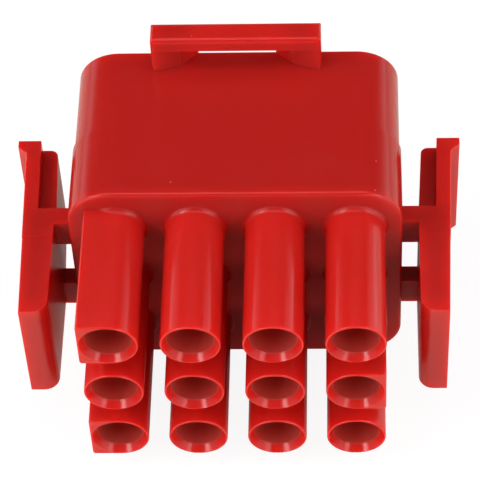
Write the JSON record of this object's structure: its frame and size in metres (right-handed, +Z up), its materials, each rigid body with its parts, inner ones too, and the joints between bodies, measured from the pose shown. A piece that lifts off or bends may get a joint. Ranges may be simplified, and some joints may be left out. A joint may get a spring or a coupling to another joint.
{
  "type": "rectangular cable connector housing",
  "caption": "Rectangular moulded plug housing for crimped cable contacts, with tubular silos, side rocker latches on flexible webs and a bridge on the wire-side edge.",
  "frame": {"origin": "under the middle of the bounding box, on the plane of the underside", "axes": "+X across the contact columns, +Y from the mating side to the wire side, +Z up through the bridge"},
  "size_m": [0.0362, 0.0264, 0.0245],
  "materials": {
    "red_nylon": "glossy moulded nylon"
  },
  "bodies": {
    "root": {"housing": "red_nylon"}
  },
  "joints": []
}
